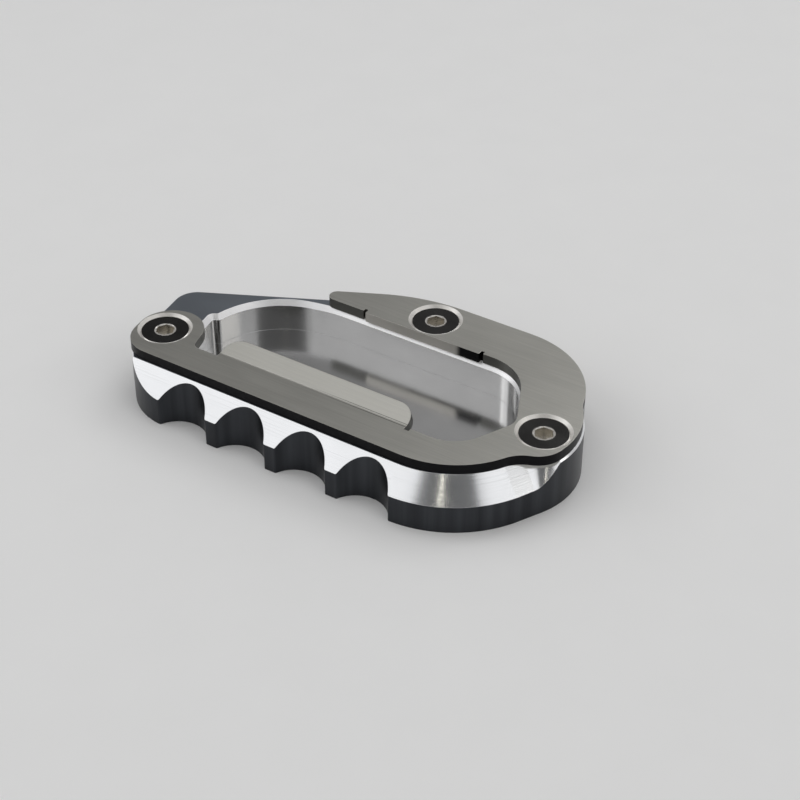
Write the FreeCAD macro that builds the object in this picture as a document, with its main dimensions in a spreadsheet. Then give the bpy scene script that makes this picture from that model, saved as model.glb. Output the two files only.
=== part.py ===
import FreeCAD, Part
import math
import os
import Sketcher

# Side-stand foot extension: a milled base with a pocket for the stand's foot, a sheet plate
# over its rim with one lip bent up, and three countersunk screws that hold the two together.
# X runs along the length, Y from the scalloped front to the back, Z up.
# The origin is on the ground, in the middle of the base's length and width.

os.makedirs("parts", exist_ok=True)
doc = FreeCAD.newDocument("StandPad")

sizes = {
    # base
    "half_length": 55.4,
    "half_width": 30.5,
    "base_thick": 12.0,
    "edge_chamfer": 0.4,
    "front_left_in": 19.5,
    "front_left_r": 17.2,
    "front_right_r": 27.5,
    "front_right_gap": 2.0,
    "flank_front": 29.8,
    "flank_r": 20.4,
    "waist_r": 8.0,
    "shoulder_in": 28.4,
    "shoulder_r": 24.2,
    "back_in": 63.4,
    "back_r": 45.0,
    "nose_drop": 30.2,
    "nose_r": 5.9,
    # bevel above the scallops
    "bevel_width": 5.1,
    "bevel_turn_angle": 62.0,
    "bevel_hollow_r": 8.0,
    "bevel_out_drop": 4.1,
    # scallops
    "scallop_r": 7.3,
    "scallop_depth": 4.5,
    "scallop_pitch": 16.6,
    "scallop_first_in": 25.5,
    "scallop_count": 4,
    "scallop_lip_r": 0.5,
    # pocket for the stand's foot
    "pocket_floor": 4.0,
    "pocket_front_wall": 13.5,
    "pocket_back_wall": 13.7,
    "pocket_front_left_in": 19.9,
    "pocket_front_left_r": 5.7,
    "pocket_front_right_r": 10.7,
    "pocket_side_r": 4.6,
    "pocket_back_right_r": 12.6,
    "pocket_side_wall": 2.25,
    "pocket_back_left_r": 28.0,
    "pocket_end_run": 4.7,
    "pocket_end_drop": 0.8,
    "pocket_end_r": 20.0,
    "pocket_cusp_r": 1.7,
    "pocket_ear_out": 0.5,
    "pocket_ear_rise": 2.0,
    "pocket_ear_r": 0.7,
    "rim_chamfer": 1.2,
    # plate
    "plate_thick": 2.5,
    "plate_setback": 5.4,
    "plate_flank_inset": 0.4,
    "plate_left_in": 10.6,
    "plate_left_r": 8.2,
    "plate_right_in": 28.9,
    "plate_right_r": 22.0,
    "neck_r": 8.0,
    "lobe_right_drop": 2.6,
    "lobe_right_r": 7.0,
    "lobe_left_shift": 1.3,
    "lobe_left_rise": 0.3,
    "lobe_left_r": 8.0,
    "tail_r": 2.0,
    # window in the plate
    "window_back_strip": 13.3,
    "window_front_strip": 8.9,
    "window_back_right_in": 31.1,
    "window_back_right_r": 13.0,
    "window_side_in": 18.9,
    "window_side_drop": 0.9,
    "window_side_r": 4.5,
    "window_front_right_in": 27.1,
    "window_front_right_r": 10.0,
    "window_left_gap": 2.4,
    "window_left_r": 1.8,
    "stop_left_in": 44.6,
    "stop_right_in": 34.6,
    "stop_proud": 0.5,
    "relief_width": 0.9,
    "relief_depth": 0.9,
    # lip bent up along the front of the window
    "lip_left_in": 26.0,
    "lip_right_in": 33.4,
    "lip_relief": 1.3,
    "lip_angle": 21.0,
    "lip_bend_r": 2.0,
    "lip_length": 4.8,
    "lip_round": 4.6,
    # countersunk socket screws
    "screw_left_in": 8.7,
    "screw_left_front": 15.8,
    "screw_right_in": 7.3,
    "screw_right_drop": 0.3,
    "screw_back_shift": 3.2,
    "screw_back_in": 7.0,
    "sink_diameter": 13.0,
    "head_gap": 0.5,
    "head_edge": 0.15,
    "thread_diameter": 6.0,
    "thread_gap": 0.05,
    "screw_end_gap": 0.7,
    "screw_tip": 0.7,
    "hole_floor": 1.2,
    "socket_width": 4.0,
    "socket_depth": 2.6,
}

sheet = doc.addObject("Spreadsheet::Sheet", "Sizes")
for row, (alias, number) in enumerate(sizes.items(), start=1):
    sheet.set(f"A{row}", alias)
    sheet.set(f"B{row}", str(number))
    sheet.setAlias(f"B{row}", alias)
doc.recompute()


def value(text):
    return float(sheet.evalExpression(text))


def origin_plane(body, role):
    for feature in body.Origin.OriginFeatures:
        if feature.Role == role:
            return feature
    raise RuntimeError("no plane " + role)


def new_sketch(body, name, role, lift=None):
    sketch = body.newObject("Sketcher::SketchObject", name)
    sketch.AttachmentSupport = [(origin_plane(body, role), "")]
    sketch.MapMode = "FlatFace"
    if lift:
        sketch.setExpression("AttachmentOffset.Base.z", lift)
    doc.recompute()
    return sketch


def bind(sketch, kind, refs, text):
    index = sketch.addConstraint(Sketcher.Constraint(kind, *refs, value(text)))
    sketch.setExpression(f"Constraints[{index}]", text)


def place_point(sketch, geometry, point, x_text, y_text):
    bind(sketch, "DistanceX", (-1, 1, geometry, point), x_text)
    bind(sketch, "DistanceY", (-1, 1, geometry, point), y_text)


def turn(x_text, y_text, r_text, side=1):
    return {"x": x_text, "y": y_text, "r": r_text, "side": side}


def corner(x_text, y_text):
    return {"x": x_text, "y": y_text, "r": None, "side": 1}


def blend(r_text):
    return {"x": None, "y": None, "r": r_text, "side": -1}


def nested(y_text, r_text):
    return {"x": None, "y": y_text, "r": r_text, "side": 1}


# A closed outline, walked anticlockwise: arcs about given centres, turning left (side 1) or
# right (side -1), plain corners, hollow blends that touch the arcs before and after them, and
# nested arcs that touch the right end of the arc after them from inside.
def outline(sketch, items):
    count = len(items)
    nodes = []
    for item in items:
        radius = value(item["r"]) if item["r"] else 0.0
        x = value(item["x"]) if item["x"] else 0.0
        y = value(item["y"]) if item["y"] else 0.0
        nodes.append([x, y, radius])
    for i, item in enumerate(items):
        if item["y"] and not item["x"]:
            bx, by, br = nodes[(i + 1) % count]
            nodes[i][0] = bx + math.sqrt((br - nodes[i][2]) ** 2 - (nodes[i][1] - by) ** 2)
    for i, item in enumerate(items):
        if item["y"]:
            continue
        ax, ay, ar = nodes[i - 1]
        bx, by, br = nodes[(i + 1) % count]
        span = math.hypot(bx - ax, by - ay)
        reach_a = ar + nodes[i][2]
        reach_b = br + nodes[i][2]
        along = (reach_a**2 - reach_b**2 + span**2) / (2 * span)
        across = math.sqrt(reach_a**2 - along**2)
        ux = (bx - ax) / span
        uy = (by - ay) / span
        nodes[i][0] = ax + along * ux + across * uy
        nodes[i][1] = ay + along * uy - across * ux

    headings = []
    for i in range(count):
        x1, y1, r1 = nodes[i]
        x2, y2, r2 = nodes[(i + 1) % count]
        if items[i]["y"] and not items[i]["x"]:
            headings.append(math.atan2(y1 - y2, x1 - x2) + math.pi / 2)
            continue
        side1 = items[i]["side"]
        side2 = items[(i + 1) % count]["side"]
        span = math.hypot(x2 - x1, y2 - y1)
        lean = max(-1.0, min(1.0, (side2 * r2 - side1 * r1) / span))
        headings.append(math.atan2(y2 - y1, x2 - x1) - math.asin(lean))

    def touch(i, heading):
        x, y, radius = nodes[i]
        side = items[i]["side"]
        return FreeCAD.Vector(x + side * radius * math.sin(heading), y - side * radius * math.cos(heading), 0)

    arcs = {}
    lines = {}
    for i, item in enumerate(items):
        if item["r"]:
            first = headings[i - 1] - item["side"] * math.pi / 2
            last = headings[i] - item["side"] * math.pi / 2
            if item["side"] < 0:
                first, last = last, first
            while last < first:
                last += 2 * math.pi
            while last - first > 2 * math.pi:
                last -= 2 * math.pi
            circle = Part.Circle(FreeCAD.Vector(nodes[i][0], nodes[i][1], 0), FreeCAD.Vector(0, 0, 1), nodes[i][2])
            arcs[i] = sketch.addGeometry(Part.ArcOfCircle(circle, first, last), False)
        follower = items[(i + 1) % count]
        if item["x"] and follower["y"]:
            ends = touch(i, headings[i]), touch((i + 1) % count, headings[i])
            lines[i] = sketch.addGeometry(Part.LineSegment(*ends), False)

    for i, item in enumerate(items):
        before = (i - 1) % count
        after = (i + 1) % count
        if item["r"]:
            entry = 1 if item["side"] > 0 else 2
            if before in lines:
                sketch.addConstraint(Sketcher.Constraint("Tangent", lines[before], 2, arcs[i], entry))
            if i in lines:
                sketch.addConstraint(Sketcher.Constraint("Tangent", arcs[i], 3 - entry, lines[i], 1))
            else:
                follow = 1 if items[after]["side"] > 0 else 2
                sketch.addConstraint(Sketcher.Constraint("Tangent", arcs[i], 3 - entry, arcs[after], follow))
        else:
            sketch.addConstraint(Sketcher.Constraint("Coincident", lines[before], 2, lines[i], 1))
            place_point(sketch, lines[i], 1, item["x"], item["y"])
    for i, item in enumerate(items):
        if item["r"]:
            if item["x"]:
                place_point(sketch, arcs[i], 3, item["x"], item["y"])
            elif item["y"]:
                bind(sketch, "DistanceY", (-1, 1, arcs[i], 3), item["y"])
            bind(sketch, "Radius", (arcs[i],), item["r"])


def polygon(sketch, points):
    count = len(points)
    spots = [FreeCAD.Vector(value(x), value(y), 0) for x, y in points]
    for i in range(count):
        sketch.addGeometry(Part.LineSegment(spots[i], spots[(i + 1) % count]), False)
    for i in range(count):
        sketch.addConstraint(Sketcher.Constraint("Coincident", i, 2, (i + 1) % count, 1))
    for i, (x, y) in enumerate(points):
        place_point(sketch, i, 1, x, y)


def circle_at(sketch, x_text, y_text, r_text):
    centre = FreeCAD.Vector(value(x_text), value(y_text), 0)
    index = sketch.addGeometry(Part.Circle(centre, FreeCAD.Vector(0, 0, 1), value(r_text)), False)
    place_point(sketch, index, 3, x_text, y_text)
    bind(sketch, "Radius", (index,), r_text)


def edge_names(shape, wanted):
    return [f"Edge{i}" for i, edge in enumerate(shape.Edges, start=1) if wanted(edge)]


def middle(edge):
    return edge.valueAt((edge.FirstParameter + edge.LastParameter) / 2)


def at_height(edge, height):
    box = edge.BoundBox
    return abs(box.ZMin - height) < 1e-4 and abs(box.ZMax - height) < 1e-4


def must_shrink(feature, before):
    doc.recompute()
    if not feature.Shape.Volume < before.Volume - 0.01:
        raise RuntimeError(feature.Name + " cuts nothing")


# Places along the length are measured from the left or the right end of the base.
def from_left(name):
    return f"(Sizes.{name} - Sizes.half_length)"


def from_right(name):
    return f"(Sizes.half_length - Sizes.{name})"


back_x = from_left("back_in")
back_y = "(Sizes.half_width - Sizes.back_r)"
nose_x = from_left("nose_r")
nose_y = "(Sizes.half_width - Sizes.nose_drop)"
slant_run = f"({nose_x} - {back_x})"
slant_rise = f"({nose_y} - {back_y})"
slant_lean = f"asin((Sizes.nose_r - Sizes.back_r) / hypot({slant_run}; {slant_rise}))"
slant = f"(atan2({slant_rise}; {slant_run}) - {slant_lean})"
front_right_x = "(Sizes.half_length - Sizes.front_right_r - Sizes.front_right_gap)"
front_right_y = "(Sizes.front_right_r - Sizes.half_width)"
flank_x = "(Sizes.half_length - Sizes.flank_r)"
flank_y = "(Sizes.flank_front - Sizes.half_width)"
bevel_y = "(Sizes.bevel_width - Sizes.half_width)"
scallop_y = "(Sizes.scallop_depth - Sizes.scallop_r - Sizes.half_width)"
pocket_front = "(Sizes.pocket_front_wall - Sizes.half_width)"
pocket_back = "(Sizes.half_width - Sizes.pocket_back_wall)"
window_front = "(Sizes.plate_setback + Sizes.window_front_strip - Sizes.half_width)"
window_back = "(Sizes.half_width - Sizes.window_back_strip)"
side_x = from_right("window_side_in")
side_y = f"({flank_y} - Sizes.window_side_drop)"
head_diameter = "(Sizes.sink_diameter - 2 * Sizes.head_gap)"
hole_depth = "(Sizes.base_thick - Sizes.hole_floor)"
screws = {
    "left": (from_left("screw_left_in"), "(Sizes.screw_left_front - Sizes.half_width)"),
    "right": (from_right("screw_right_in"), f"({flank_y} - Sizes.screw_right_drop)"),
    "back": (f"({back_x} - Sizes.screw_back_shift)", "(Sizes.half_width - Sizes.screw_back_in)"),
}



# The slanted side joins the nose and the back. This is the centre, along the length, of an arc
# that stays inside it by the given wall.
def beside_slant(y_text, r_text, wall_text):
    reach = f"Sizes.back_r - {r_text} - {wall_text}"
    return f"({back_x} + ({reach} + ({y_text} - {back_y}) * cos({slant})) / sin({slant}))"


# The back and the right end are one line on base and plate.
back_outline = [
    blend("Sizes.waist_r"),
    turn(from_right("shoulder_in"), "Sizes.half_width - Sizes.shoulder_r", "Sizes.shoulder_r"),
    turn(back_x, back_y, "Sizes.back_r"),
]

# Base
base = doc.addObject("PartDesign::Body", "base")
base.Label = "base"
base.Placement = FreeCAD.Placement()

base_plan = new_sketch(base, "BasePlan", "XY_Plane")
outline(
    base_plan,
    [
        turn(from_left("front_left_in"), "Sizes.front_left_r - Sizes.half_width", "Sizes.front_left_r"),
        turn(front_right_x, front_right_y, "Sizes.front_right_r"),
        turn(flank_x, flank_y, "Sizes.flank_r"),
        *back_outline,
        turn(nose_x, nose_y, "Sizes.nose_r"),
    ],
)
base_block = base.newObject("PartDesign::Pad", "BaseBlock")
base_block.Profile = base_plan
base_block.setExpression("Length", "Sizes.base_thick")
doc.recompute()

# The top edge is broken all round, apart from the front, which the bevel takes.
top = value("Sizes.base_thick")
front_limit = value(f"{flank_y} - Sizes.flank_r + 3")
edge_break = base.newObject("PartDesign::Chamfer", "EdgeBreak")
edge_break.Base = (
    base_block,
    edge_names(base_block.Shape, lambda edge: at_height(edge, top) and middle(edge).y > front_limit),
)
edge_break.setExpression("Size", "Sizes.edge_chamfer")
must_shrink(edge_break, base_block.Shape)

# Scallops: upright round cuts along the front, with eased lips between them
scallop_plan = new_sketch(base, "ScallopPlan", "XY_Plane")
circle_at(scallop_plan, from_left("scallop_first_in"), scallop_y, "Sizes.scallop_r")
scallop = base.newObject("PartDesign::Pocket", "Scallop")
scallop.Profile = scallop_plan
scallop.Type = "ThroughAll"
scallop.Reversed = True
must_shrink(scallop, edge_break.Shape)
scallops = base.newObject("PartDesign::LinearPattern", "Scallops")
scallops.Originals = [scallop]
scallops.Direction = (scallop_plan, ["H_Axis"])
scallops.setExpression("Length", "Sizes.scallop_pitch * (Sizes.scallop_count - 1)")
scallops.setExpression("Occurrences", "Sizes.scallop_count")
base.Tip = scallops
must_shrink(scallops, scallop.Shape)

scallop_r = value("Sizes.scallop_r")
first_scallop = FreeCAD.Vector(value(from_left("scallop_first_in")), value(scallop_y), 0)
scallop_step = FreeCAD.Vector(value("Sizes.scallop_pitch"), 0, 0)
scallop_centres = [first_scallop + scallop_step * i for i in range(int(value("Sizes.scallop_count")))]


def is_lip(edge):
    box = edge.BoundBox
    if box.ZLength < top - 1 or box.XLength > 1e-4 or box.YLength > 1e-4:
        return False
    foot = FreeCAD.Vector(box.XMin, box.YMin, 0)
    return any(abs(foot.distanceToPoint(centre) - scallop_r) < 1e-3 for centre in scallop_centres)


lips = base.newObject("PartDesign::Fillet", "ScallopLips")
lips.Base = (scallops, edge_names(scallops.Shape, is_lip))
lips.setExpression("Radius", "Sizes.scallop_lip_r")
must_shrink(lips, scallops.Shape)

# Bevel: a 45 degree face along the front that keeps its width round the right corner, where it
# is a cone, then swings back through a hollow turn and runs out at the right end
bevel_line = new_sketch(base, "BevelLine", "XY_Plane", "Sizes.base_thick")
bevel_start_x = "-1.3 * Sizes.half_length"
bevel_end_x = "1.3 * Sizes.half_length"
bevel_out_y = f"({screws['right'][1]} - Sizes.bevel_out_drop)"
turn_radius = "(Sizes.front_right_r - Sizes.bevel_width)"
edge_y = value(bevel_y)
out_y = value(bevel_out_y)
turn_r = value(turn_radius)
hollow_r = value("Sizes.bevel_hollow_r")
turn_angle = math.radians(value("Sizes.bevel_turn_angle"))
turn_centre = FreeCAD.Vector(value(front_right_x), value(front_right_y), 0)
side = FreeCAD.Vector(math.sin(turn_angle), -math.cos(turn_angle), 0)
turn_end = turn_centre + side * turn_r
hollow_start_y = out_y - hollow_r * (1 - math.cos(turn_angle))
hollow_start_x = turn_end.x + (hollow_start_y - turn_end.y) / math.tan(turn_angle)
hollow_start = FreeCAD.Vector(hollow_start_x, hollow_start_y, 0)
hollow_centre = hollow_start + side * hollow_r
hollow_end = hollow_centre + FreeCAD.Vector(0, hollow_r, 0)
turn_circle = Part.Circle(turn_centre, FreeCAD.Vector(0, 0, 1), turn_r)
hollow_circle = Part.Circle(hollow_centre, FreeCAD.Vector(0, 0, 1), hollow_r)
bevel_edges = [
    Part.LineSegment(FreeCAD.Vector(value(bevel_start_x), edge_y, 0), turn_centre - FreeCAD.Vector(0, turn_r, 0)),
    Part.ArcOfCircle(turn_circle, -math.pi / 2, turn_angle - math.pi / 2),
    Part.LineSegment(turn_end, hollow_start),
    Part.ArcOfCircle(hollow_circle, math.pi / 2, turn_angle + math.pi / 2),
    Part.LineSegment(hollow_end, FreeCAD.Vector(value(bevel_end_x), out_y, 0)),
]
for edge in bevel_edges:
    bevel_line.addGeometry(edge, False)
bevel_line.addConstraint(Sketcher.Constraint("Tangent", 0, 2, 1, 1))
bevel_line.addConstraint(Sketcher.Constraint("Tangent", 1, 2, 2, 1))
bevel_line.addConstraint(Sketcher.Constraint("Tangent", 2, 2, 3, 2))
bevel_line.addConstraint(Sketcher.Constraint("Tangent", 3, 1, 4, 1))
bevel_line.addConstraint(Sketcher.Constraint("Horizontal", 0))
bevel_line.addConstraint(Sketcher.Constraint("Horizontal", 4))
bind(bevel_line, "DistanceX", (-1, 1, 0, 1), bevel_start_x)
place_point(bevel_line, 1, 3, front_right_x, front_right_y)
bind(bevel_line, "Radius", (1,), turn_radius)
lean = bevel_line.addConstraint(Sketcher.Constraint("Angle", 0, 2, turn_angle))
bevel_line.setExpression(f"Constraints[{lean}]", "Sizes.bevel_turn_angle * 1deg")
bind(bevel_line, "Radius", (3,), "Sizes.bevel_hollow_r")
place_point(bevel_line, 4, 2, bevel_end_x, bevel_out_y)

bevel_section = new_sketch(base, "BevelSection", "YZ_Plane", bevel_start_x)
bevel_reach = "(Sizes.bevel_hollow_r - 0.3)"
polygon(
    bevel_section,
    [
        (bevel_y, "Sizes.base_thick"),
        (bevel_y, "Sizes.base_thick + 1"),
        (f"{bevel_y} - {bevel_reach}", "Sizes.base_thick + 1"),
        (f"{bevel_y} - {bevel_reach}", f"Sizes.base_thick - {bevel_reach}"),
    ],
)
bevel = base.newObject("PartDesign::SubtractivePipe", "Bevel")
bevel.Profile = bevel_section
bevel.Spine = (bevel_line, ["Edge1", "Edge2", "Edge3", "Edge4", "Edge5"])
bevel.Mode = "Binormal"
bevel.Binormal = FreeCAD.Vector(0, 0, 1)
must_shrink(bevel, lips.Shape)

# Pocket, with its wide chamfered rim and the small ear at its left end
pocket_end_y = f"({pocket_back} - Sizes.pocket_end_r - Sizes.pocket_end_drop)"
pocket_end_x = beside_slant(pocket_end_y, "Sizes.pocket_end_r", "Sizes.pocket_side_wall")
pocket_plan = new_sketch(base, "PocketPlan", "XY_Plane", "Sizes.base_thick")
outline(
    pocket_plan,
    [
        turn(
            from_left("pocket_front_left_in"),
            pocket_front + " + Sizes.pocket_front_left_r",
            "Sizes.pocket_front_left_r",
        ),
        turn(
            from_right("window_front_right_in"),
            pocket_front + " + Sizes.pocket_front_right_r",
            "Sizes.pocket_front_right_r",
        ),
        turn(side_x, side_y, "Sizes.pocket_side_r"),
        turn(
            from_right("window_back_right_in"),
            pocket_back + " - Sizes.pocket_back_right_r",
            "Sizes.pocket_back_right_r",
        ),
        turn(
            pocket_end_x + " + Sizes.pocket_end_run",
            pocket_back + " - Sizes.pocket_back_left_r",
            "Sizes.pocket_back_left_r",
        ),
        turn(pocket_end_x, pocket_end_y, "Sizes.pocket_end_r"),
        blend("Sizes.pocket_cusp_r"),
        turn(
            pocket_end_x + " - Sizes.pocket_end_r - Sizes.pocket_ear_out",
            pocket_end_y + " + Sizes.pocket_ear_rise",
            "Sizes.pocket_ear_r",
        ),
    ],
)
pocket = base.newObject("PartDesign::Pocket", "FootPocket")
pocket.Profile = pocket_plan
pocket.setExpression("Length", "Sizes.base_thick - Sizes.pocket_floor")
must_shrink(pocket, bevel.Shape)

pocket_box = pocket_plan.Shape.BoundBox
pocket_box.enlarge(0.01)


def is_rim(edge):
    box = edge.BoundBox
    flat_box = FreeCAD.BoundBox(box.XMin, box.YMin, top, box.XMax, box.YMax, top)
    return at_height(edge, top) and pocket_box.isInside(flat_box)


rim = base.newObject("PartDesign::Chamfer", "PocketRim")
rim.Base = (pocket, edge_names(pocket.Shape, is_rim))
rim.setExpression("Size", "Sizes.rim_chamfer")
must_shrink(rim, pocket.Shape)

base_hole_plan = new_sketch(base, "BaseHolePlan", "XY_Plane", "Sizes.base_thick")
for x_text, y_text in screws.values():
    circle_at(base_hole_plan, x_text, y_text, "Sizes.thread_diameter / 2")
base_holes = base.newObject("PartDesign::Hole", "ScrewHoles")
base_holes.Profile = base_hole_plan
doc.recompute()
base_holes.setExpression("Diameter", "Sizes.thread_diameter")
base_holes.DepthType = "Dimension"
base_holes.setExpression("Depth", hole_depth)
base_holes.DrillPoint = "Flat"
base_holes.HoleCutType = "Countersink"
base_holes.HoleCutCustomValues = True
base_holes.setExpression("HoleCutDiameter", "Sizes.sink_diameter - 2 * Sizes.plate_thick")
base_holes.HoleCutCountersinkAngle = 90
base.Tip = base_holes
must_shrink(base_holes, rim.Shape)

# Plate
plate = doc.addObject("PartDesign::Body", "top_plate")
plate.Label = "top_plate"
plate.setExpression("Placement.Base.z", "Sizes.base_thick")

# The plate ends in a rounded tail that lies between the window and the base's slanted side.
tail_y = f"({window_back} + Sizes.tail_r)"
tail_x = beside_slant(tail_y, "Sizes.tail_r", "0")

stop_left = from_left("stop_left_in")
stop_right = from_right("stop_right_in")
stop_face = window_back + " - Sizes.stop_proud"
stop_notch = window_back + " + Sizes.relief_depth"
lip_left = from_left("lip_left_in")
lip_right = from_right("lip_right_in")
lip_notch = window_front + " - Sizes.relief_depth"
lobe_left_x = screws["left"][0] + " + Sizes.lobe_left_shift"

plate_plan = new_sketch(plate, "PlatePlan", "XY_Plane")
outline(
    plate_plan,
    [
        turn(
            from_left("plate_left_in"),
            "Sizes.plate_left_r + Sizes.plate_setback - Sizes.half_width",
            "Sizes.plate_left_r",
        ),
        turn(
            from_right("plate_right_in"),
            "Sizes.plate_right_r + Sizes.plate_setback - Sizes.half_width",
            "Sizes.plate_right_r",
        ),
        blend("Sizes.neck_r"),
        nested(screws["right"][1] + " - Sizes.lobe_right_drop", "Sizes.lobe_right_r"),
        turn(flank_x, flank_y, "Sizes.flank_r - Sizes.plate_flank_inset"),
        *back_outline,
        turn(tail_x, tail_y, "Sizes.tail_r"),
        corner(stop_left + " - Sizes.relief_width", window_back),
        corner(stop_left + " - Sizes.relief_width", stop_notch),
        corner(stop_left, stop_notch),
        corner(stop_left, stop_face),
        corner(stop_right, stop_face),
        corner(stop_right, stop_notch),
        corner(stop_right + " + Sizes.relief_width", stop_notch),
        corner(stop_right + " + Sizes.relief_width", window_back),
        turn(
            from_right("window_back_right_in"),
            window_back + " - Sizes.window_back_right_r",
            "Sizes.window_back_right_r",
            -1,
        ),
        turn(side_x, side_y, "Sizes.window_side_r", -1),
        turn(
            from_right("window_front_right_in"),
            window_front + " + Sizes.window_front_right_r",
            "Sizes.window_front_right_r",
            -1,
        ),
        corner(lip_right + " + Sizes.lip_relief", window_front),
        corner(lip_right + " + Sizes.lip_relief", lip_notch),
        corner(lip_right, lip_notch),
        corner(lip_right, window_front),
        corner(lip_left, window_front),
        corner(lip_left, lip_notch),
        turn(
            lobe_left_x + " + Sizes.lobe_left_r + Sizes.window_left_gap",
            lip_notch + " + Sizes.window_left_r",
            "Sizes.window_left_r",
            -1,
        ),
        turn(lobe_left_x, screws["left"][1] + " + Sizes.lobe_left_rise", "Sizes.lobe_left_r"),
    ],
)
sheet_metal = plate.newObject("PartDesign::Pad", "PlateSheet")
sheet_metal.Profile = plate_plan
sheet_metal.setExpression("Length", "Sizes.plate_thick")
doc.recompute()

# The lip: a bend along the window's front edge, then a flat run with rounded ends
lip_profile = new_sketch(plate, "LipProfile", "YZ_Plane", lip_left)
bend_y = value(window_front)
thick = value("Sizes.plate_thick")
bend_r = value("Sizes.lip_bend_r")
angle = math.radians(value("Sizes.lip_angle"))
flat = value("Sizes.lip_length")
pivot = FreeCAD.Vector(bend_y, thick + bend_r, 0)
radial = FreeCAD.Vector(math.sin(angle), -math.cos(angle), 0)
forward = FreeCAD.Vector(math.cos(angle), math.sin(angle), 0)
inner_end = pivot + radial * bend_r
outer_end = pivot + radial * (bend_r + thick)
z_axis = FreeCAD.Vector(0, 0, 1)
lip_profile.addGeometry(Part.LineSegment(FreeCAD.Vector(bend_y, thick, 0), FreeCAD.Vector(bend_y, 0, 0)), False)
lip_profile.addGeometry(
    Part.ArcOfCircle(Part.Circle(pivot, z_axis, bend_r + thick), -math.pi / 2, angle - math.pi / 2), False
)
lip_profile.addGeometry(Part.LineSegment(outer_end, outer_end + forward * flat), False)
lip_profile.addGeometry(Part.LineSegment(outer_end + forward * flat, inner_end + forward * flat), False)
lip_profile.addGeometry(Part.LineSegment(inner_end + forward * flat, inner_end), False)
lip_profile.addGeometry(
    Part.ArcOfCircle(Part.Circle(pivot, z_axis, bend_r), -math.pi / 2, angle - math.pi / 2), False
)
lip_profile.addConstraint(Sketcher.Constraint("Coincident", 0, 2, 1, 1))
lip_profile.addConstraint(Sketcher.Constraint("Tangent", 1, 2, 2, 1))
lip_profile.addConstraint(Sketcher.Constraint("Coincident", 2, 2, 3, 1))
lip_profile.addConstraint(Sketcher.Constraint("Coincident", 3, 2, 4, 1))
lip_profile.addConstraint(Sketcher.Constraint("Tangent", 4, 2, 5, 2))
lip_profile.addConstraint(Sketcher.Constraint("Coincident", 5, 1, 0, 1))
lip_profile.addConstraint(Sketcher.Constraint("Coincident", 1, 3, 5, 3))
lip_profile.addConstraint(Sketcher.Constraint("Perpendicular", 2, 3))
place_point(lip_profile, 0, 2, window_front, "0")
place_point(lip_profile, 0, 1, window_front, "Sizes.plate_thick")
place_point(lip_profile, 5, 3, window_front, "Sizes.plate_thick + Sizes.lip_bend_r")
lean = lip_profile.addConstraint(Sketcher.Constraint("Angle", 2, angle))
lip_profile.setExpression(f"Constraints[{lean}]", "Sizes.lip_angle * 1deg")
bind(lip_profile, "Distance", (2,), "Sizes.lip_length")

lip = plate.newObject("PartDesign::Pad", "Lip")
lip.Profile = lip_profile
lip.setExpression("Length", f"{lip_right} - {lip_left}")
doc.recompute()


def is_lip_corner(edge):
    box = edge.BoundBox
    ends = abs(box.XMin - value(lip_left)) < 1e-3 or abs(box.XMin - value(lip_right)) < 1e-3
    free = (outer_end + forward * flat).x
    return ends and box.XLength < 1e-3 and abs(edge.Length - thick) < 1e-3 and abs(box.YMax - free) < 1e-3


lip_ends = plate.newObject("PartDesign::Fillet", "LipEnds")
lip_ends.Base = (lip, edge_names(lip.Shape, is_lip_corner))
lip_ends.setExpression("Radius", "min(Sizes.lip_round; Sizes.lip_length - 0.1)")
must_shrink(lip_ends, lip.Shape)

plate_hole_plan = new_sketch(plate, "PlateHolePlan", "XY_Plane", "Sizes.plate_thick")
for x_text, y_text in screws.values():
    circle_at(plate_hole_plan, x_text, y_text, "Sizes.thread_diameter / 2")
plate_holes = plate.newObject("PartDesign::Hole", "Countersinks")
plate_holes.Profile = plate_hole_plan
doc.recompute()
plate_holes.setExpression("Diameter", "Sizes.thread_diameter")
plate_holes.DepthType = "ThroughAll"
plate_holes.HoleCutType = "Countersink"
plate_holes.HoleCutCustomValues = True
plate_holes.setExpression("HoleCutDiameter", "Sizes.sink_diameter")
plate_holes.HoleCutCountersinkAngle = 90
plate.Tip = plate_holes
must_shrink(plate_holes, lip_ends.Shape)


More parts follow.
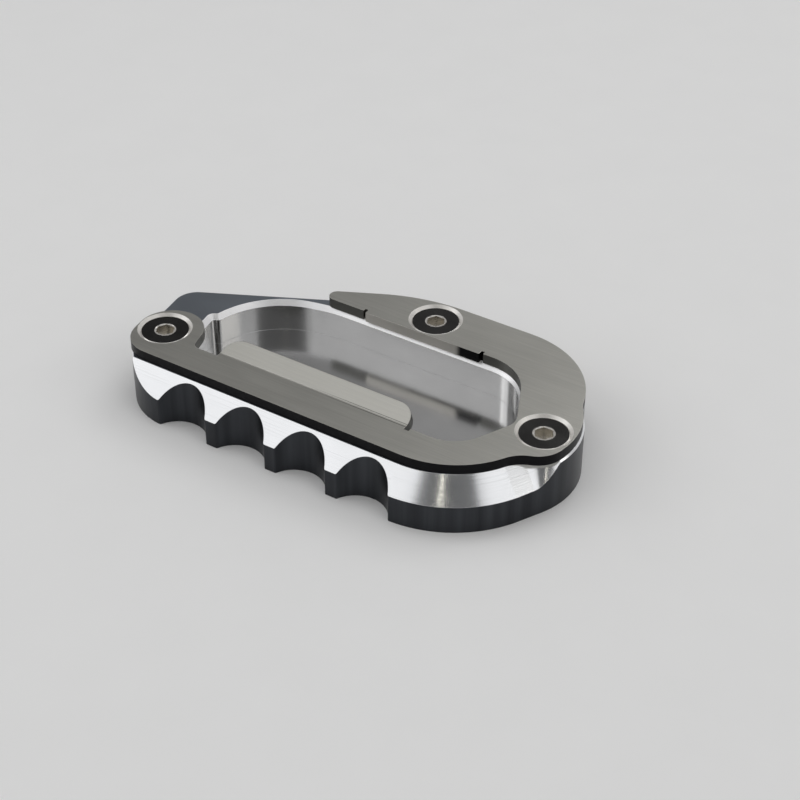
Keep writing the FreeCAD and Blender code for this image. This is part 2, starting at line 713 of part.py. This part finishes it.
# Screws: the cone lies in the countersink, so a head with more gap sits deeper.
def make_screw(name):
    screw = doc.addObject("PartDesign::Body", f"screw_{name}")
    screw.Label = f"screw_{name}"
    screw.setExpression("Placement.Base.x", screws[name][0])
    screw.setExpression("Placement.Base.y", screws[name][1])
    screw.setExpression("Placement.Base.z", "Sizes.base_thick + Sizes.plate_thick - Sizes.head_gap")
    profile = new_sketch(screw, f"ScrewProfile_{name}", "XZ_Plane")
    shank = "(Sizes.thread_diameter / 2 - Sizes.thread_gap)"
    length = f"({hole_depth} + Sizes.plate_thick - Sizes.head_gap - Sizes.screw_end_gap)"
    polygon(
        profile,
        [
            ("0", "0"),
            ("0", f"-{length}"),
            (shank + " - Sizes.screw_tip", f"-{length}"),
            (shank, f"Sizes.screw_tip - {length}"),
            (shank, f"{shank} - {head_diameter} / 2"),
            (f"{head_diameter} / 2 - Sizes.head_edge", "-Sizes.head_edge"),
            (f"{head_diameter} / 2 - 2.4 * Sizes.head_edge", "0"),
        ],
    )
    turned = screw.newObject("PartDesign::Revolution", f"Turned_{name}")
    turned.Profile = profile
    turned.ReferenceAxis = (profile, ["V_Axis"])
    turned.Angle = 360
    doc.recompute()
    hexagon = new_sketch(screw, f"Socket_{name}", "XY_Plane")
    radius = "Sizes.socket_width / 2 / cos(30deg)"
    spots = [
        FreeCAD.Vector(value(radius), 0, 0),
        *[
            FreeCAD.Vector(value(radius) * math.cos(i * math.pi / 3), value(radius) * math.sin(i * math.pi / 3), 0)
            for i in range(1, 6)
        ],
    ]
    for i in range(6):
        hexagon.addGeometry(Part.LineSegment(spots[i], spots[(i + 1) % 6]), False)
    ring = hexagon.addGeometry(Part.Circle(FreeCAD.Vector(0, 0, 0), z_axis, value(radius)), True)
    hexagon.addConstraint(Sketcher.Constraint("Coincident", ring, 3, -1, 1))
    bind(hexagon, "Radius", (ring,), radius)
    for i in range(6):
        hexagon.addConstraint(Sketcher.Constraint("Coincident", i, 2, (i + 1) % 6, 1))
        hexagon.addConstraint(Sketcher.Constraint("PointOnObject", i, 1, ring))
        if i:
            hexagon.addConstraint(Sketcher.Constraint("Equal", 0, i))
    hexagon.addConstraint(Sketcher.Constraint("PointOnObject", 0, 1, -1))
    socket = screw.newObject("PartDesign::Pocket", f"HexSocket_{name}")
    socket.Profile = hexagon
    socket.setExpression("Length", "Sizes.socket_depth")
    must_shrink(socket, turned.Shape)
    return screw


bodies = [base, plate] + [make_screw(name) for name in screws]
doc.recompute()

for item in doc.Objects:
    if "Invalid" in item.State or "Error" in item.State:
        raise RuntimeError(f"{item.Name} failed: {item.State}")
for body in bodies:
    if body.Shape.isNull() or not body.Shape.isValid():
        raise RuntimeError(f"{body.Label} has no valid shape")
    if len(body.Shape.Solids) != 1:
        raise RuntimeError(f"{body.Label} is not one solid")
for body in bodies:
    body.Shape.exportStep(f"parts/{body.Label}.step")
    box = body.Shape.BoundBox
    print(
        f"{body.Label}: {body.Shape.Volume:.1f} mm3, x {box.XMin:.2f}..{box.XMax:.2f},"
        f" y {box.YMin:.2f}..{box.YMax:.2f}, z {box.ZMin:.2f}..{box.ZMax:.2f}"
    )
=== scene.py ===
import math

import bpy
from mathutils import Matrix, Vector


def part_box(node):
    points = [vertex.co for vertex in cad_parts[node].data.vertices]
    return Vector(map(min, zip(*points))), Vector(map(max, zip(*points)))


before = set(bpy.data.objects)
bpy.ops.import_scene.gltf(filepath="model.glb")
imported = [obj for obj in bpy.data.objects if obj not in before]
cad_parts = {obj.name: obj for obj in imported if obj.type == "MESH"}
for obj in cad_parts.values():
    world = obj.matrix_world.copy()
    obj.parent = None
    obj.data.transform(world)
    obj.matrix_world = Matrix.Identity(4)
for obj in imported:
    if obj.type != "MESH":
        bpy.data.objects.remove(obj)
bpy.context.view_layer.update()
print("frame loaded:", ", ".join(sorted(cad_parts)))

mm = 0.001


# A number, colour or vector in a shader tree. Arithmetic and comparisons on it add Math nodes.
class Shade:
    def __init__(self, tree, socket):
        self.tree = tree
        self.socket = socket

    def math(self, operation, *others):
        return addNode(self.tree, "ShaderNodeMath", {"operation": operation}, [self, *others])

    def __add__(self, other):
        return self.math("ADD", other)

    def __radd__(self, other):
        return self.math("ADD", other)

    def __sub__(self, other):
        return self.math("SUBTRACT", other)

    def __rsub__(self, other):
        return self.math("MULTIPLY_ADD", -1.0, other)

    def __mul__(self, other):
        return self.math("MULTIPLY", other)

    def __rmul__(self, other):
        return self.math("MULTIPLY", other)

    def __pow__(self, power):
        return self.math("POWER", power)

    def __abs__(self):
        return self.math("ABSOLUTE")

    def __lt__(self, other):
        return self.math("LESS_THAN", other)

    def __gt__(self, other):
        return self.math("GREATER_THAN", other)


# Adds a node: its settings first, then values or links for its inputs, by place or by name.
def addNode(tree, kind, settings=None, inputs=None, output=0):
    node = tree.nodes.new(kind)
    for name, setting in (settings or {}).items():
        setattr(node, name, setting)
    pairs = enumerate(inputs) if isinstance(inputs, list) else (inputs or {}).items()
    for key, entry in pairs:
        if isinstance(entry, Shade):
            tree.links.new(entry.socket, node.inputs[key])
        else:
            node.inputs[key].default_value = entry
    return Shade(tree, node.outputs[output]) if len(node.outputs) else None


# An empty node tree for a material or a world
def newTree(owner):
    owner.use_nodes = True
    owner.node_tree.nodes.clear()
    return owner.node_tree


def coordinates(tree, kind):
    return addNode(tree, "ShaderNodeTexCoord", output=kind)


# The three parts of a vector
def split(vector):
    node = addNode(vector.tree, "ShaderNodeSeparateXYZ", {}, [vector]).socket.node
    return [Shade(vector.tree, part) for part in node.outputs]


# 0 below the first value, 1 above the second, eased between them
def ramp(field, low, high):
    limits = {"From Min": low, "From Max": high, "To Min": 0.0, "To Max": 1.0}
    smooth = {"interpolation_type": "SMOOTHSTEP"}
    return addNode(field.tree, "ShaderNodeMapRange", smooth, {"Value": field, **limits})


# 1 between two values, 0 elsewhere
def between(field, low, high):
    return (field > low) * (field < high)


# How far a point is from an upright axis, in metres
def axisDistance(x, y, axis):
    return ((x - axis[0]) ** 2 + (y - axis[1]) ** 2).math("SQRT")


def mixValue(factor, first, second):
    return addNode(factor.tree, "ShaderNodeMix", {"data_type": "FLOAT"}, {0: factor, 2: first, 3: second})


def mixColour(factor, first, second):
    ends = [(*end, 1.0) if isinstance(end, tuple) else end for end in (first, second)]
    inputs = {0: factor, 6: ends[0], 7: ends[1]}
    return addNode(factor.tree, "ShaderNodeMix", {"data_type": "RGBA"}, inputs, output=2)


# A colour made lighter or darker by a number
def tint(colour, tone):
    return addNode(colour.tree, "ShaderNodeVectorMath", {"operation": "SCALE"}, {0: colour, 3: tone})


def noise(place, scale, detail):
    return addNode(place.tree, "ShaderNodeTexNoise", {}, {"Vector": place, "Scale": scale, "Detail": detail})


# Streaks: noise on coordinates that are divided by the given lengths, in metres
def streaks(place, lengths, detail):
    shares = tuple(1 / length for length in lengths)
    scaled = addNode(place.tree, "ShaderNodeVectorMath", {"operation": "MULTIPLY"}, [place, shares])
    return noise(scaled, 1.0, detail)


# Bare metal with softened edges, and marks that stand up by the given height
def finishMetal(colour, roughness, height, look):
    tree = colour.tree
    softened = addNode(tree, "ShaderNodeBevel", {"samples": 6}, {"Radius": look["edgeRound"]})
    marks = {"Strength": look["markStrength"], "Distance": look["markHeight"], "Height": height}
    bump = addNode(tree, "ShaderNodeBump", {}, {**marks, "Normal": softened})
    finishSurface(tree, {"Base Color": colour, "Roughness": roughness, "Normal": bump, "Metallic": 1.0})


def finishSurface(tree, inputs):
    surface = addNode(tree, "ShaderNodeBsdfPrincipled", {}, inputs)
    addNode(tree, "ShaderNodeOutputMaterial", {}, [surface])


# The upward part of the normal, where a face starts to count as flat and where it fully does
flatFrom, flatTo = 0.85, 0.95

baseLook = {
    "wallColour": (0.050, 0.053, 0.059),
    # the cut top is a painted dark reflection: milled metal painted dark blue-grey
    "topDarkReflectionColour": (0.25, 0.275, 0.31),
    "bevelColour": (0.90, 0.91, 0.93),
    "pocketColour": (0.61, 0.61, 0.61),
    "rimColour": (0.96, 0.96, 0.97),
    "wallRoughness": 0.34,
    "topRoughness": 0.30,
    "bevelRoughness": 0.17,
    "pocketRoughness": 0.16,
    "rimRoughness": 0.40,
    "cloudTone": 0.16,
    "cloudRoughness": 0.10,
    "wallBandTone": 1.1,
    "bevelStreakTone": 0.09,
    "pocketStreakTone": 0.06,
    # where the bevel turns round the right corner, and the angle at which it leaves the turn
    "turnCentre": (25.9 * mm, -3.0 * mm),
    "turnRadius": 22 * mm,
    "turnAngle": math.radians(62),
    # a region round the pocket: a round left end, set in towards the back, and a turn at the right
    "pocketEnd": (-21.7 * mm, -4.0 * mm),
    "pocketEndReach": 22.6 * mm,
    "pocketEndInset": 0.9 * mm,
    "pocketInsetFrom": 4 * mm,
    "pocketTurnReach": 20.5 * mm,
    "pocketFront": -20 * mm,
    "pocketBack": 19.5 * mm,
    "topFrom": 11 * mm,
    # the length of each kind of mark along x, y and z; on the bevel across, along and upwards
    "turnedLines": (0.16 * mm, 30 * mm, 40 * mm),
    "coarseLines": (1.1 * mm, 60 * mm, 80 * mm),
    "topLines": (14 * mm, 0.18 * mm, 5 * mm),
    "wallLines": (0.22 * mm, 0.22 * mm, 30 * mm),
    "wallBands": (2.4 * mm, 2.4 * mm, 70 * mm),
    "floorLines": (6 * mm, 0.5 * mm, 3 * mm),
    "turnedRelief": 0.9,
    "coarseRelief": 0.35,
    "topRelief": 0.35,
    "wallRelief": 0.25,
    "floorRelief": 0.10,
    "markStrength": 0.22,
    "markHeight": 0.05 * mm,
    "edgeRound": 0.16 * mm,
}


# The base: dark satin outer walls, a cut top in a painted dark blue-grey reflection, and bright cut faces on
# the bevel and in the pocket
def makeBaseMaterial(look):
    material = bpy.data.materials.new("milledBase")
    tree = newTree(material)
    place = coordinates(tree, "Object")
    x, y, z = split(place)
    nz = split(coordinates(tree, "Normal"))[2]

    # Offsets from the turn's centre, and how far a point lies along the straight way out of it
    dx, dy = x - look["turnCentre"][0], y - look["turnCentre"][1]
    sine, cosine = math.sin(look["turnAngle"]), math.cos(look["turnAngle"])
    wayOut = cosine * dx + sine * dy
    turnDistance = axisDistance(x, y, look["turnCentre"])
    turning = dx > 0.0
    leaving = turning * (wayOut > 0.0)

    endX = look["pocketEnd"][0]
    endReach = look["pocketEndReach"] - look["pocketEndInset"] * (y > look["pocketInsetFrom"])
    leftEnd = (x < endX) * (axisDistance(x, y, look["pocketEnd"]) < endReach)
    rightPart = (x > endX) * (1 - turning * (turnDistance > look["pocketTurnReach"]))
    depthBand = between(y, look["pocketFront"], look["pocketBack"])
    inPocket = (leftEnd + rightPart).math("MINIMUM", 1.0) * depthBand

    upright = 1 - ramp(abs(nz), 0.30, 0.45)
    below = nz < -0.4
    outerWall = (upright * (1 - inPocket)).math("MAXIMUM", below)
    slanted = ramp(nz, 0.45, 0.6) * (1 - ramp(nz, 0.8, 0.92))
    bevel = slanted * (1 - inPocket)
    rim = slanted * inPocket
    flatTop = ramp(nz, flatFrom, flatTo) * (z > look["topFrom"])
    pocketFace = inPocket * (1 - flatTop)

    # Turning lines follow the bevel: straight first, then round the corner, then straight again.
    across = mixValue(leaving, mixValue(turning, -1.0 * dy, turnDistance), sine * dx - cosine * dy)
    roundTurn = dy.math("ARCTAN2", dx) * look["turnRadius"]
    along = mixValue(leaving, mixValue(turning, x, roundTurn), wayOut)
    swept = addNode(tree, "ShaderNodeCombineXYZ", {}, [across, along, z])
    turned = streaks(swept, look["turnedLines"], 3.0)
    coarse = streaks(swept, look["coarseLines"], 1.0)

    topGrain = streaks(place, look["topLines"], 3.0)
    wallGrain = streaks(place, look["wallLines"], 2.0)
    floorGrain = streaks(place, look["floorLines"], 2.0)
    bands = streaks(place, look["wallBands"], 2.0)
    clouds = noise(place, 90.0, 2.0)

    # The cut top's dark blue-grey is a painted dark reflection.
    colour = mixColour(outerWall, look["topDarkReflectionColour"], look["wallColour"])
    colour = mixColour(pocketFace, colour, look["pocketColour"])
    colour = mixColour(bevel, colour, look["bevelColour"])
    colour = mixColour(rim, colour, look["rimColour"])
    # The clouds stay about one half on average, so this keeps the colours as they are written.
    tone = 1 - look["cloudTone"] / 2 + look["cloudTone"] * clouds
    tone = tone + outerWall * look["wallBandTone"] * (bands - 0.5)
    tone = tone * (1 - bevel * look["bevelStreakTone"] * ramp(turned, 0.52, 0.75))
    tone = tone * (1 - pocketFace * look["pocketStreakTone"] * floorGrain)

    roughness = mixValue(outerWall, look["topRoughness"], look["wallRoughness"])
    roughness = mixValue(pocketFace, roughness, look["pocketRoughness"])
    roughness = mixValue(bevel, roughness, look["bevelRoughness"])
    roughness = mixValue(rim, roughness, look["rimRoughness"])
    roughness = roughness + look["cloudRoughness"] * (clouds - 0.5)

    height = mixValue(outerWall, topGrain * look["topRelief"], wallGrain * look["wallRelief"])
    height = mixValue(bevel, height, turned * look["turnedRelief"] + coarse * look["coarseRelief"])
    height = mixValue(pocketFace, height, floorGrain * look["floorRelief"])
    finishMetal(tint(colour, tone), roughness, height, look)
    return material


plateLook = {
    "faceColour": (0.47, 0.463, 0.43),
    # the cut edges' dark tones are painted dark reflections, near black outside and dark grey round the
    # window
    "edgeDarkReflectionColour": (0.013, 0.013, 0.014),
    "windowEdgeDarkReflectionColour": (0.13, 0.13, 0.12),
    # a painted highlight for the stop's cut face
    "stopHighlightColour": (0.62, 0.60, 0.56),
    "sinkColour": (0.80, 0.78, 0.75),
    "faceRoughness": 0.33,
    "edgeRoughness": 0.42,
    "grainTone": 0.30,
    "cloudTone": 0.16,
    "darkestTone": 0.76,
    "grainRoughness": 0.12,
    # a countersink's reach, and a region round the window, with the stop at its back, whose cut face carries
    # a painted highlight and, at its right end, a painted dark reflection
    "sinkReach": 6.6 * mm,
    "windowLeft": -39.5 * mm,
    "windowRight": 42 * mm,
    "windowFront": -17.6 * mm,
    "windowBack": 18.3 * mm,
    "stopFront": 10 * mm,
    "stopLeft": -11 * mm,
    "stopFade": (14 * mm, 16 * mm),
    "stopEndDarkReflection": (15 * mm, 21.2 * mm),
    # the lip starts at this height and is made darker there as painted shade, and two fine lines run along
    # its bend
    "lipFrom": 14.62 * mm,
    "lipPaintedShade": 0.20,
    "bendLines": (-16.2 * mm, -15.48 * mm),
    "bendWidth": (0.04 * mm, 0.15 * mm),
    "bendStart": (-8 * mm, 10 * mm),
    "bendRight": 22 * mm,
    "bendFade": 0.6,
    "grainLines": (12 * mm, 0.30 * mm, 9 * mm),
    "fineLines": (4 * mm, 0.11 * mm, 3 * mm),
    "fineRelief": 0.5,
    "markStrength": 0.12,
    "markHeight": 0.05 * mm,
    "edgeRound": 0.14 * mm,
}


# How far a point is from the nearest screw's axis, in metres
def screwDistance(x, y, centres):
    nearest = axisDistance(x, y, centres[0])
    for centre in centres[1:]:
        nearest = nearest.math("MINIMUM", axisDistance(x, y, centre))
    return nearest


# The plate: fine brushing along its length, cut edges painted dark as a painted dark reflection, turned
# countersinks
def makePlateMaterial(centres, look):
    material = bpy.data.materials.new("brushedPlate")
    tree = newTree(material)
    place = coordinates(tree, "Object")
    x, y, z = split(place)
    nz = split(coordinates(tree, "Normal"))[2]

    face = ramp(abs(nz), 0.80, 0.90)
    sink = (screwDistance(x, y, centres) < look["sinkReach"]) * (1 - face)
    inWindow = between(x, look["windowLeft"], look["windowRight"])
    inWindow = inWindow * between(y, look["windowFront"], look["windowBack"])
    atBack = inWindow * (y > look["stopFront"])
    # The stop's cut face gets a painted highlight that fades out towards its right end, where a painted dark
    # reflection follows.
    stopHighlight = atBack * (x > look["stopLeft"]) * (1 - ramp(x, *look["stopFade"]))
    stopEndDarkReflection = atBack * between(x, *look["stopEndDarkReflection"])

    grain = streaks(place, look["grainLines"], 4.0)
    fine = streaks(place, look["fineLines"], 2.0)
    clouds = noise(place, 45.0, 2.0)

    # Painted reflections on the cut edges: near black outside the window and at the stop's right end, dark
    # grey elsewhere round the window.
    colour = mixColour(inWindow * (1 - stopEndDarkReflection), look["edgeDarkReflectionColour"], look["windowEdgeDarkReflectionColour"])
    colour = mixColour(stopHighlight, colour, look["stopHighlightColour"])
    colour = mixColour(face, colour, look["faceColour"])
    colour = mixColour(sink, colour, look["sinkColour"])
    tone = look["darkestTone"] + look["grainTone"] * grain + look["cloudTone"] * clouds
    # Painted shade: the bent lip's face is made darker than the rest of the plate.
    tone = tone * (1 - look["lipPaintedShade"] * face * (z > look["lipFrom"]))

    # Two fine darker lines run along the bend, clearer towards its right end.
    onBend = face * (nz > 0.0) * ramp(x, *look["bendStart"]) * (x < look["bendRight"])
    for line in look["bendLines"]:
        onLine = 1 - ramp(abs(y - line), *look["bendWidth"])
        tone = tone * (1 - look["bendFade"] * onBend * onLine)

    roughness = mixValue(face, look["edgeRoughness"], look["faceRoughness"])
    roughness = roughness + look["grainRoughness"] * (grain - 0.5)
    finishMetal(tint(colour, tone), roughness, grain + look["fineRelief"] * fine, look)
    return material


screwLook = {
    "faceColour": (0.042, 0.041, 0.040),
    "rimColour": (0.75, 0.73, 0.70),
    "mouthColour": (0.62, 0.60, 0.57),
    "socketColour": (0.62, 0.59, 0.54),
    # the socket's walls are painted darker than its floor, as painted shade
    "socketWallShadeColour": (0.55, 0.53, 0.49),
    "roughness": 0.20,
    "cloudTone": 0.30,
    "cloudRoughness": 0.12,
    # distances from the screw's axis: the socket, its turned mouth, and the head's rim
    "socketTo": 2.45 * mm,
    "mouthEdge": 2.50 * mm,
    "mouthFrom": 2.20 * mm,
    "mouthTo": 2.60 * mm,
    "rimFrom": 5.6 * mm,
    "socketBelow": 0.05 * mm,
    "ringPitch": 0.28 * mm,
    "ringRelief": 0.2,
    "mouthRelief": 11,
    "markStrength": 1.0,
    "markHeight": 0.02 * mm,
    "edgeRound": 0.16 * mm,
}


# A screw: a dark polished head with turned rings, a bright rim, and a bright socket with painted shade on
# its walls
def makeScrewMaterial(name, centre, headTop, look):
    material = bpy.data.materials.new(name)
    tree = newTree(material)
    place = coordinates(tree, "Object")
    x, y, z = split(place)
    nz = split(coordinates(tree, "Normal"))[2]

    distance = axisDistance(x, y, centre)
    socketTop = headTop - look["socketBelow"]
    flat = ramp(nz, flatFrom, flatTo)
    rim = 1 - flat * (distance < look["rimFrom"])
    inSocket = (distance < look["socketTo"]) * (z < socketTop)
    mouth = flat * (z > socketTop) * (1 - ramp(distance, look["mouthEdge"], look["mouthTo"]))
    rings = (distance * (2 * math.pi / look["ringPitch"])).math("SINE")
    clouds = noise(place, 500.0, 3.0)

    # Painted shade: the socket's walls darker than its floor.
    socketTone = mixColour(flat, look["socketWallShadeColour"], look["socketColour"])
    colour = mixColour(rim, look["faceColour"], look["rimColour"])
    colour = mixColour(inSocket, colour, socketTone)
    colour = mixColour(mouth, colour, look["mouthColour"])
    tone = 1 - look["cloudTone"] / 2 + look["cloudTone"] * clouds
    roughness = look["roughness"] + look["cloudRoughness"] * (clouds - 0.5)
    funnel = look["mouthRelief"] * ramp(distance, look["mouthFrom"], look["mouthTo"])
    height = look["ringRelief"] * rings * flat + funnel
    finishMetal(tint(colour, tone), roughness, height, look)
    return material


def dress(node, material):
    node.data.materials.clear()
    node.data.materials.append(material)


screwNames = ("screw_left", "screw_right", "screw_back")
screwBoxes = [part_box(name) for name in screwNames]
screwCentres = [((low.x + high.x) / 2, (low.y + high.y) / 2) for low, high in screwBoxes]

dress(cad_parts["base"], makeBaseMaterial(baseLook))
dress(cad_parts["top_plate"], makePlateMaterial(screwCentres, plateLook))
for nodeName, centre, (low, high) in zip(screwNames, screwCentres, screwBoxes):
    dress(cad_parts[nodeName], makeScrewMaterial(nodeName + "Steel", centre, high.z, screwLook))
print("materials done")

studio = {
    "floorColour": (0.93, 0.93, 0.93),
    "speckle": 0.97,
    "floorHalf": 6.0,
    # the far floor's glow, and how far from the object it starts and is full
    "farFill": 0.27,
    "farFrom": 0.25,
    "farTo": 1.4,
    "worldLow": 0.62,
    "worldHigh": 0.32,
    # the upward part of the direction, where the sky leaves its low tone and reaches its high one
    "worldSpan": (0.05, 0.85),
    "shades": (
        # direction from the object, depth, where it starts and where it is full
        ((0.394, -0.630, 0.669), 0.60, 0.84, 0.95),
        ((-0.655, 0.525, 0.543), 0.55, 0.945, 0.995),
    ),
    "lamps": (
        # name, direction from the object, distance, width, height, watts, colour
        ("softLeft", (-0.44, -0.62, 0.66), 0.75, 0.62, 0.50, 0.54, (1, 1, 1)),
        ("softRight", (0.62, -0.12, 0.78), 0.80, 0.34, 0.50, 0.30, (1, 1, 1)),
        ("softBack", (0.05, 0.68, 0.73), 0.95, 0.50, 0.36, 0.95, (1, 1, 1)),
        ("softSide", (-0.77, -0.31, 0.56), 0.90, 0.28, 0.30, 0.35, (1, 1, 1)),
        ("softFar", (0.786, 0.318, 0.530), 0.95, 0.60, 0.20, 0.44, (1.0, 0.98, 0.93)),
        ("softOver", (-0.47, 0.10, 0.88), 0.90, 0.36, 0.30, 0.38, (1, 1, 1)),
        ("softTop", (0.02, 0.06, 1.0), 1.10, 0.80, 0.80, 1.4, (1, 1, 1)),
        ("softStrip", (0.245, -0.58, 0.775), 0.90, 0.010, 0.30, 0.05, (1.0, 0.96, 0.82)),
    ),
}


def makeFloor(settings):
    half = settings["floorHalf"]
    corners = [(-half, -half, 0), (half, -half, 0), (half, half, 0), (-half, half, 0)]
    mesh = bpy.data.meshes.new("floor")
    mesh.from_pydata(corners, [], [(0, 1, 2, 3)])
    floor = bpy.data.objects.new("floor", mesh)
    bpy.context.scene.collection.objects.link(floor)

    material = bpy.data.materials.new("paleFloor")
    tree = newTree(material)
    place = coordinates(tree, "Object")
    x, y = split(place)[:2]
    darker = tuple(settings["speckle"] * part for part in settings["floorColour"])
    colour = mixColour(noise(place, 60.0, 3.0), darker, settings["floorColour"])

    # The lamps don't reach the far floor, so it glows a little for the camera and in reflections.
    cameraRay = addNode(tree, "ShaderNodeLightPath", output="Is Camera Ray")
    glossyRay = addNode(tree, "ShaderNodeLightPath", output="Is Glossy Ray")
    far = ramp(axisDistance(x, y, (0.0, 0.0)), settings["farFrom"], settings["farTo"])
    glow = settings["farFill"] * far * (cameraRay + glossyRay).math("MINIMUM", 1.0)
    light = {"Emission Color": glow, "Emission Strength": 1.0}
    finishSurface(tree, {"Base Color": colour, "Roughness": 0.7, **light})
    mesh.materials.append(material)


# A pale sky that is darker overhead and in a few patches
def makeSky(settings):
    world = bpy.data.worlds.new("studio")
    tree = newTree(world)
    direction = split(coordinates(tree, "Generated"))
    glow = mixValue(ramp(direction[2], *settings["worldSpan"]), settings["worldLow"], settings["worldHigh"])
    for (sx, sy, sz), depth, start, full in settings["shades"]:
        facingShade = sx * direction[0] + sy * direction[1] + sz * direction[2]
        glow = glow * (1 - depth * ramp(facingShade, start, full))
    background = addNode(tree, "ShaderNodeBackground", {}, {"Color": (1, 1, 1, 1), "Strength": glow})
    addNode(tree, "ShaderNodeOutputWorld", {}, [background])
    bpy.context.scene.world = world


def makeLamps(settings):
    for name, direction, distance, width, tall, watts, colour in settings["lamps"]:
        light = bpy.data.lights.new(name, "AREA")
        light.shape = "RECTANGLE"
        light.size = width
        light.size_y = tall
        light.energy = watts
        light.color = colour
        lamp = bpy.data.objects.new(name, light)
        lamp.location = Vector(direction).normalized() * distance
        lamp.rotation_euler = (-Vector(direction)).to_track_quat("-Z", "Y").to_euler()
        bpy.context.scene.collection.objects.link(lamp)


makeFloor(studio)
makeSky(studio)
makeLamps(studio)
print("studio done")

cameraPlace = {
    "at": (190.0 * mm, -276.8 * mm, 247.7 * mm),
    "towards": (15.5 * mm, -8.5 * mm, 14.5 * mm),
    "roll": math.radians(0.144),
    "lens": 79.87,
    "sensorWidth": 36.0,
    "clipStart": 0.01,
}


def makeCamera(settings):
    data = bpy.data.cameras.new("camera")
    data.sensor_fit = "HORIZONTAL"
    data.sensor_width = settings["sensorWidth"]
    data.lens = settings["lens"]
    data.clip_start = settings["clipStart"]
    camera = bpy.data.objects.new("camera", data)
    aim = Vector(settings["towards"]) - Vector(settings["at"])
    turn = aim.to_track_quat("-Z", "Y").to_matrix() @ Matrix.Rotation(settings["roll"], 3, "Z")
    camera.matrix_world = Matrix.Translation(Vector(settings["at"])) @ turn.to_4x4()
    bpy.context.scene.collection.objects.link(camera)
    bpy.context.scene.camera = camera


makeCamera(cameraPlace)
bpy.context.scene.view_settings.view_transform = "Standard"
print("camera done")
